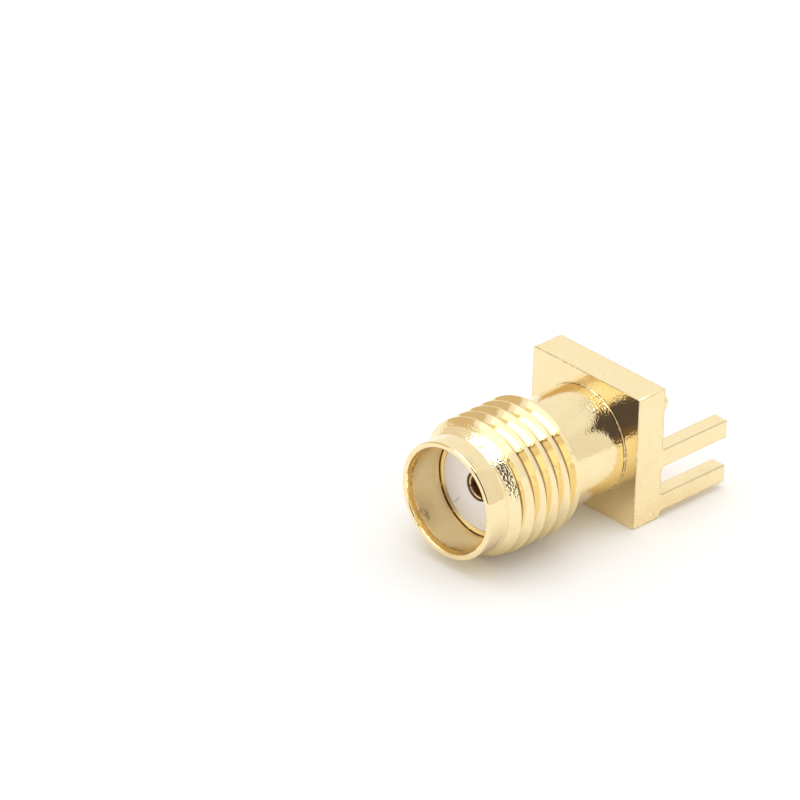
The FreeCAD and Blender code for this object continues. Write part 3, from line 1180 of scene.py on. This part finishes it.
def room_patch(heading, half_width, low, high, roundness, soft):
    """1 inside a rounded part of the wall, 0 outside. Degrees; headings go from +X towards +Y."""
    turned = tree.nodes.new("ShaderNodeVectorRotate")
    turned.rotation_type = "Z_AXIS"
    turned.inputs["Angle"].default_value = -math.radians(heading)
    tree.links.new(outwards.outputs["Generated"], turned.inputs["Vector"])
    turned_axes = tree.nodes.new("ShaderNodeSeparateXYZ")
    tree.links.new(turned.outputs["Vector"], turned_axes.inputs[0])
    aside = calculate(tree, "ARCTAN2", turned_axes.outputs["Y"], turned_axes.outputs["X"])
    aside = calculate(tree, "DIVIDE", aside, math.radians(half_width))
    aside = calculate(tree, "POWER", calculate(tree, "ABSOLUTE", aside), roundness)
    middle = math.radians((low + high) / 2)
    above = calculate(tree, "SUBTRACT", height, middle)
    above = calculate(tree, "DIVIDE", above, math.radians((high - low) / 2))
    above = calculate(tree, "POWER", calculate(tree, "ABSOLUTE", above), roundness)
    return ramp(tree, calculate(tree, "ADD", aside, above), 1 + soft, 1 - soft)


def ceiling_patch(low_x, high_x, low_y, high_y, soft):
    """1 inside a rectangle one unit above the part, 0 outside."""
    upwards = calculate(tree, "MAXIMUM", axes.outputs["Z"], 0.05)
    inside = None
    for axis, low, high in (("X", low_x, high_x), ("Y", low_y, high_y)):
        spread = calculate(tree, "DIVIDE", axes.outputs[axis], upwards)
        spread = calculate(tree, "SUBTRACT", spread, (low + high) / 2)
        spread = calculate(tree, "ABSOLUTE", spread)
        edge = (high - low) / 2
        part = ramp(tree, spread, edge + soft, edge - soft)
        inside = calculate(tree, "MULTIPLY", inside, part) if inside else part
    return inside


print("world:", world.name)

# %% [markdown]
# ## The room that the gold mirrors
#
# Seen from the camera: pale walls, three of them a little duller and a warm, darker one on the
# left. Nearer, bright panels stand on both sides of a dark opening, through which the picture is
# taken: it is the dark patch on the barrel and the flange. Overhead hangs a bright softbox in a dim
# frame, which gives the white streaks. All of it stays in the room when the camera moves. Later
# patches cover earlier ones.

# %% Room
WALL = (1.0, 0.99, 0.97)
OPENING = (0.10, 0.095, 0.14)
SOFTBOX_FRAME = (0.45, 0.40, 0.34)
SOFTBOX = (4.5, 4.5, 4.5)

room_tint = WALL
for name, heading, half_width, low, high, roundness, soft, tint in (
    ("wall on the right", 35, 24, -12, 54, 6, 0.3, (0.90, 0.86, 0.80)),
    ("wall at the back right", 82, 24, -12, 54, 6, 0.3, (0.97, 0.96, 0.92)),
    ("wall at the back left", 168, 17, -12, 56, 6, 0.3, (0.87, 0.79, 0.70)),
    ("warm wall on the left", -152, 18, -20, 42, 4, 0.2, (0.72, 0.58, 0.40)),
    ("left panel", -107, 18, 2, 60, 6, 0.3, (1.2, 1.2, 1.2)),
    ("left panel, lower half", -107, 20, -2, 34, 6, 0.3, (1.35, 1.35, 1.35)),
    ("right panel", -5, 13, -2, 50, 6, 0.3, (1.5, 1.5, 1.5)),
    ("glow beside it", 16, 18, 18, 42, 4, 0.4, (1.3, 1.3, 1.3)),
    ("opening", -46, 25, -30, 58, 3, 0.12, OPENING),
    ("upper left part of the opening", -66, 16, 22, 54, 3, 0.12, OPENING),
    ("lower part of the opening", -46, 24, -14, 12, 6, 0.5, (0.21, 0.15, 0.13)),
):
    patch = room_patch(heading, half_width, low, high, roundness, soft)
    room_tint = mix_colours(tree, patch, room_tint, tint)
    print("painted", name)
softbox_frame = ceiling_patch(-0.48, 0.62, -0.62, 0.66, 0.03)
room_tint = mix_colours(tree, softbox_frame, room_tint, SOFTBOX_FRAME)
softbox = ceiling_patch(-0.48, 0.50, -0.50, 0.55, 0.03)
room_tint = mix_colours(tree, softbox, room_tint, SOFTBOX)

# %% [markdown]
# ## What each ray sees
#
# Mirrored rays see the painted room. Rays that light a matt surface see an even, slightly warm
# white, so that the room's bright and dark patches don't stain the table. The camera sees plain
# white behind everything.

# %% World
mirrored = tree.nodes.new("ShaderNodeBackground")
tree.links.new(room_tint, mirrored.inputs["Color"])
mirrored.inputs["Strength"].default_value = 1.0
even = tree.nodes.new("ShaderNodeBackground")
even.inputs["Color"].default_value = (1.0, 0.975, 0.93, 1)
even.inputs["Strength"].default_value = 0.90
backdrop = tree.nodes.new("ShaderNodeBackground")
backdrop.inputs["Color"].default_value = (1, 1, 1, 1)
backdrop.inputs["Strength"].default_value = 1.0
paths = tree.nodes.new("ShaderNodeLightPath")
glossy_or_even = tree.nodes.new("ShaderNodeMixShader")
tree.links.new(paths.outputs["Is Glossy Ray"], glossy_or_even.inputs["Fac"])
tree.links.new(even.outputs[0], glossy_or_even.inputs[1])
tree.links.new(mirrored.outputs[0], glossy_or_even.inputs[2])
seen = tree.nodes.new("ShaderNodeMixShader")
tree.links.new(paths.outputs["Is Camera Ray"], seen.inputs["Fac"])
tree.links.new(glossy_or_even.outputs[0], seen.inputs[1])
tree.links.new(backdrop.outputs[0], seen.inputs[2])
sky = tree.nodes.new("ShaderNodeOutputWorld")
tree.links.new(seen.outputs[0], sky.inputs["Surface"])
bpy.context.scene.view_settings.view_transform = "Standard"
print("even light", round(even.inputs["Strength"].default_value, 2), "over", len(tree.nodes), "nodes")

# %% [markdown]
# ## Finish
#
# The box of the dressed part is printed, in millimetres. The dressed part has to stay inside
# the CAD model's box.

# %% Sizes and finish
low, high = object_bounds()
print("dressed box in mm:", [round(v / MM, 3) for v in (*low, *high)])
